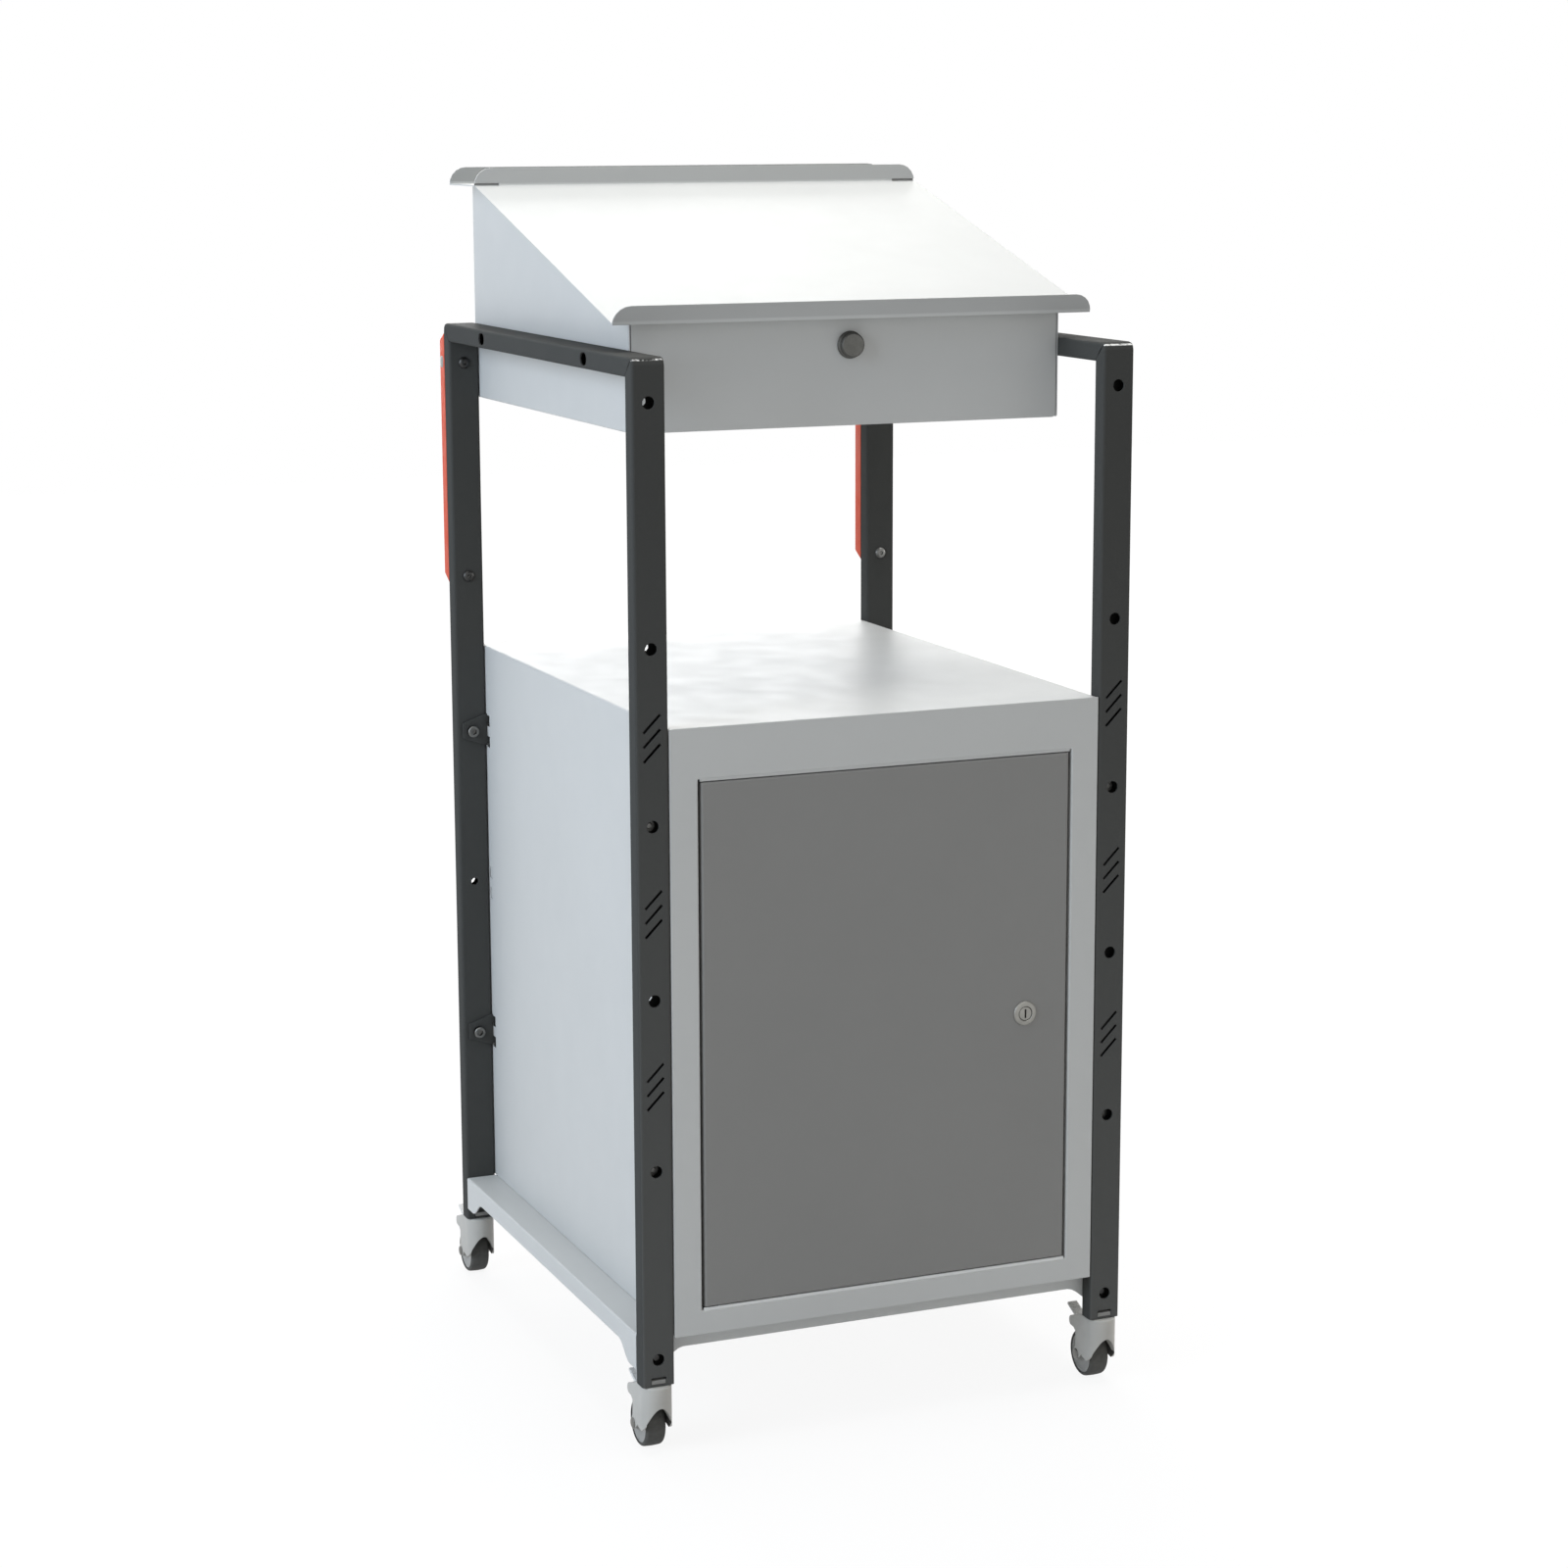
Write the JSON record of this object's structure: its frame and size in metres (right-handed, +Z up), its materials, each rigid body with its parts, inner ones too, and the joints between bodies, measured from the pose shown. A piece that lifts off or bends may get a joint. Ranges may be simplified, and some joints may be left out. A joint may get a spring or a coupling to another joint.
{
  "type": "mobile workshop desk",
  "caption": "Mobile standing workshop desk: sloped writing top with drawer and pen tray over an open bay and a lockable cabinet, in a tube frame on swivel casters with brakes.",
  "frame": {"origin": "floor under the middle of the part's bounding box", "axes": "+Z up, +X to the right seen from the front, +Y to the rear"},
  "size_m": [0.5516, 0.6776, 1.2989],
  "materials": {
    "frame_paint": "fine textured powder coat, anthracite",
    "body_paint": "fine textured powder coat, light grey",
    "door_paint": "fine textured powder coat, stone grey",
    "grip_plastic": "satin moulded, red",
    "zinc_steel": "zinc plated",
    "lock_chrome": "satin chrome",
    "knob_chrome": "dark chrome",
    "fork_plastic": "moulded, light grey",
    "hub_plastic": "moulded, mid grey",
    "tyre_rubber": "matte, dark grey"
  },
  "bodies": {
    "frame": {"side_frame_left": "frame_paint", "rear_grip_left": "grip_plastic", "drawer_runner_left": "zinc_steel", "hook_bracket_front_left_upper": "frame_paint", "hook_bracket_front_left_lower": "frame_paint", "hook_bracket_rear_left_upper": "frame_paint", "hook_bracket_rear_left_lower": "frame_paint", "side_frame_right": "frame_paint", "rear_grip_right": "grip_plastic", "drawer_runner_right": "zinc_steel", "hook_bracket_front_right_upper": "frame_paint", "hook_bracket_front_right_lower": "frame_paint", "hook_bracket_rear_right_upper": "frame_paint", "hook_bracket_rear_right_lower": "frame_paint", "base_tray": "body_paint", "cabinet_shell": "body_paint", "cabinet_front_frame": "body_paint", "cabinet_floor": "body_paint", "cabinet_back": "body_paint", "cabinet_shelf": "body_paint", "desk_body": "body_paint", "desk_back": "body_paint", "desk_top": "body_paint", "pen_tray": "body_paint", "door_pin_top": "zinc_steel", "door_pin_bottom": "zinc_steel", "caster_plug_front_left": "fork_plastic", "caster_plug_front_right": "fork_plastic", "caster_plug_rear_left": "fork_plastic", "caster_plug_rear_right": "fork_plastic"},
    "door": {"door_panel": "door_paint", "lock_body": "lock_chrome"},
    "lock": {"lock_plug": "lock_chrome", "lock_cam": "zinc_steel"},
    "drawer": {"drawer_front": "body_paint", "drawer_tray": "body_paint", "drawer_knob": "knob_chrome"},
    "caster_front_left": {"caster_fork_front_left": "fork_plastic", "caster_axle_front_left": "zinc_steel"},
    "wheel_front_left": {"caster_hub_front_left": "hub_plastic", "caster_tyre_front_left": "tyre_rubber"},
    "brake_front_left": {"caster_pedal_front_left": "fork_plastic"},
    "caster_front_right": {"caster_fork_front_right": "fork_plastic", "caster_axle_front_right": "zinc_steel"},
    "wheel_front_right": {"caster_hub_front_right": "hub_plastic", "caster_tyre_front_right": "tyre_rubber"},
    "brake_front_right": {"caster_pedal_front_right": "fork_plastic"},
    "caster_rear_left": {"caster_fork_rear_left": "fork_plastic", "caster_axle_rear_left": "zinc_steel"},
    "wheel_rear_left": {"caster_hub_rear_left": "hub_plastic", "caster_tyre_rear_left": "tyre_rubber"},
    "brake_rear_left": {"caster_pedal_rear_left": "fork_plastic"},
    "caster_rear_right": {"caster_fork_rear_right": "fork_plastic", "caster_axle_rear_right": "zinc_steel"},
    "wheel_rear_right": {"caster_hub_rear_right": "hub_plastic", "caster_tyre_rear_right": "tyre_rubber"},
    "brake_rear_right": {"caster_pedal_rear_right": "fork_plastic"}
  },
  "joints": [
    {"name": "drawer_slide", "type": "slide", "parent": "frame", "child": "drawer", "axis": [0, -1, 0], "range_m": [0, 0.34]},
    {"name": "door_hinge", "type": "hinge", "parent": "frame", "child": "door", "pos_m": [-0.1939, -0.32525, 0.42765], "axis": [0, 0, -1], "range_deg": [0, 110]},
    {"name": "lock_turn", "type": "hinge", "parent": "door", "child": "lock", "pos_m": [0.1574, -0.33225, 0.4267], "axis": [0, 1, 0], "range_deg": [0, 90]},
    {"name": "swivel_front_left", "type": "hinge", "parent": "frame", "child": "caster_front_left", "pos_m": [-0.2575, -0.32225, 0.0655], "axis": [0, 0, 1], "continuous": true},
    {"name": "roll_front_left", "type": "hinge", "parent": "caster_front_left", "child": "wheel_front_left", "pos_m": [-0.2575, -0.29875, 0.02578], "axis": [1, 0, 0], "continuous": true},
    {"name": "brake_press_front_left", "type": "hinge", "parent": "caster_front_left", "child": "brake_front_left", "pos_m": [-0.2575, -0.28825, 0.06], "axis": [-1, 0, 0], "range_deg": [0, 18]},
    {"name": "swivel_front_right", "type": "hinge", "parent": "frame", "child": "caster_front_right", "pos_m": [0.2575, -0.32225, 0.0655], "axis": [0, 0, 1], "continuous": true},
    {"name": "roll_front_right", "type": "hinge", "parent": "caster_front_right", "child": "wheel_front_right", "pos_m": [0.2575, -0.29875, 0.02578], "axis": [1, 0, 0], "continuous": true},
    {"name": "brake_press_front_right", "type": "hinge", "parent": "caster_front_right", "child": "brake_front_right", "pos_m": [0.2575, -0.28825, 0.06], "axis": [-1, 0, 0], "range_deg": [0, 18]},
    {"name": "swivel_rear_left", "type": "hinge", "parent": "frame", "child": "caster_rear_left", "pos_m": [-0.2575, 0.27275, 0.0655], "axis": [0, 0, 1], "continuous": true},
    {"name": "roll_rear_left", "type": "hinge", "parent": "caster_rear_left", "child": "wheel_rear_left", "pos_m": [-0.2575, 0.29625, 0.02578], "axis": [1, 0, 0], "continuous": true},
    {"name": "brake_press_rear_left", "type": "hinge", "parent": "caster_rear_left", "child": "brake_rear_left", "pos_m": [-0.2575, 0.30675, 0.06], "axis": [-1, 0, 0], "range_deg": [0, 18]},
    {"name": "swivel_rear_right", "type": "hinge", "parent": "frame", "child": "caster_rear_right", "pos_m": [0.2575, 0.27275, 0.0655], "axis": [0, 0, 1], "continuous": true},
    {"name": "roll_rear_right", "type": "hinge", "parent": "caster_rear_right", "child": "wheel_rear_right", "pos_m": [0.2575, 0.29625, 0.02578], "axis": [1, 0, 0], "continuous": true},
    {"name": "brake_press_rear_right", "type": "hinge", "parent": "caster_rear_right", "child": "brake_rear_right", "pos_m": [0.2575, 0.30675, 0.06], "axis": [-1, 0, 0], "range_deg": [0, 18]}
  ]
}
